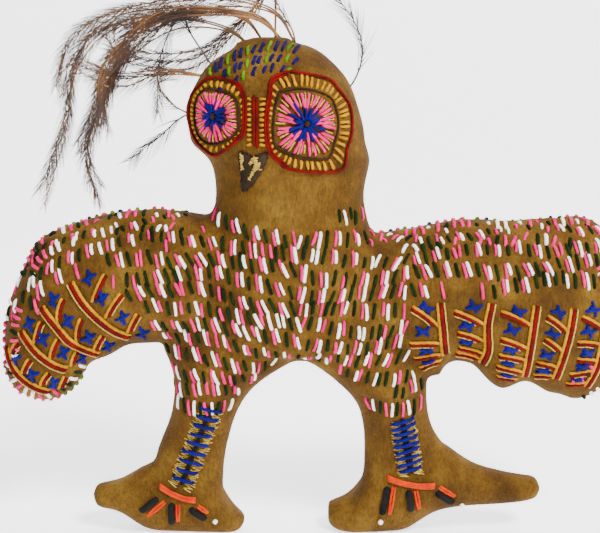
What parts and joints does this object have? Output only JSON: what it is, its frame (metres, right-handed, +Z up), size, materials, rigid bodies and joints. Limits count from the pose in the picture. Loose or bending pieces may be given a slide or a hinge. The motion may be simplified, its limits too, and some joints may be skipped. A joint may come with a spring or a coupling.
{
  "type": "stuffed embroidered felt owl",
  "caption": "Stuffed wool-felt owl with spread wings, stitched all over in coloured yarn, with a crest of thin feathers; a free-standing folk-craft ornament.",
  "frame": {"origin": "on the plane of the soles, below the middle of the body", "axes": "+Z up, the owl faces -Y, the wings spread along X"},
  "size_m": [0.3124, 0.0671, 0.2773],
  "materials": {
    "felt": "fuzzy wool felt",
    "stuffing": "loose fibre fill",
    "pink_yarn": "wool yarn",
    "white_yarn": "wool yarn",
    "green_yarn": "wool yarn",
    "yellow_cord": "wool cord",
    "red_cord": "wool cord",
    "blue_yarn": "wool yarn",
    "gold_thread": "metallic thread",
    "brown_felt": "wool felt",
    "black_cloth": "padded cloth",
    "orange_cord": "wool cord",
    "navy_yarn": "wool yarn",
    "lime_yarn": "wool yarn",
    "bead_glass": "opaque seed bead",
    "feather": "feather shaft"
  },
  "bodies": {
    "body": {"ankle_bands": "orange_cord", "beak_felt": "brown_felt", "beak_gold_stitches": "gold_thread", "body_back_felt": "felt", "body_front_felt": "felt", "brow_red_cords": "red_cord", "brow_yellow_bars": "yellow_cord", "claw_beads": "bead_glass", "crest_feather_01": "feather", "crest_feather_02": "feather", "crest_feather_03": "feather", "crest_feather_04": "feather", "crest_feather_05": "feather", "crest_feather_06": "feather", "crest_feather_07": "feather", "crown_lime_stitches": "lime_yarn", "crown_navy_stitches": "navy_yarn", "eye_blue_rays": "blue_yarn", "eye_centre_knots": "brown_felt", "eye_edge_cords": "brown_felt", "eye_gold_rays": "gold_thread", "eye_pink_rays": "pink_yarn", "eye_rim_cords": "red_cord", "eye_yellow_rays": "yellow_cord", "head_stuffing": "stuffing", "leg_blue_bars": "blue_yarn", "leg_core_cords": "black_cloth", "leg_gold_stitches": "gold_thread", "leg_stuffing": "stuffing", "short_head_feathers": "feather", "shoulder_blue_stars": "blue_yarn", "shoulder_red_cords": "red_cord", "shoulder_yellow_cords": "yellow_cord", "small_crest_feathers": "feather", "talon_cords": "orange_cord", "talon_strips": "black_cloth", "torso_green_stitches": "green_yarn", "torso_pink_stitches": "pink_yarn", "torso_stuffing": "stuffing", "torso_white_stitches": "white_yarn"},
    "left_wing": {"left_wing_back_felt": "felt", "left_wing_blue_stars": "blue_yarn", "left_wing_front_felt": "felt", "left_wing_gold_cords": "gold_thread", "left_wing_green_stitches": "green_yarn", "left_wing_pink_stitches": "pink_yarn", "left_wing_red_cords": "red_cord", "left_wing_stuffing": "stuffing", "left_wing_white_stitches": "white_yarn", "left_wing_yellow_cords": "yellow_cord"},
    "right_wing": {"right_wing_back_felt": "felt", "right_wing_blue_stars": "blue_yarn", "right_wing_front_felt": "felt", "right_wing_gold_cords": "gold_thread", "right_wing_green_stitches": "green_yarn", "right_wing_pink_stitches": "pink_yarn", "right_wing_red_cords": "red_cord", "right_wing_stuffing": "stuffing", "right_wing_white_stitches": "white_yarn", "right_wing_yellow_cords": "yellow_cord"}
  },
  "joints": [
    {"name": "left_wing_flex", "type": "hinge", "parent": "body", "child": "left_wing", "pos_m": [-0.0775, 0, 0.133], "axis": [0, 0, 1], "range_deg": [-15, 15], "stiffness_Nm_per_rad": 0.3},
    {"name": "right_wing_flex", "type": "hinge", "parent": "body", "child": "right_wing", "pos_m": [0.058, 0, 0.121], "axis": [0, 0, 1], "range_deg": [-15, 15], "stiffness_Nm_per_rad": 0.3}
  ]
}
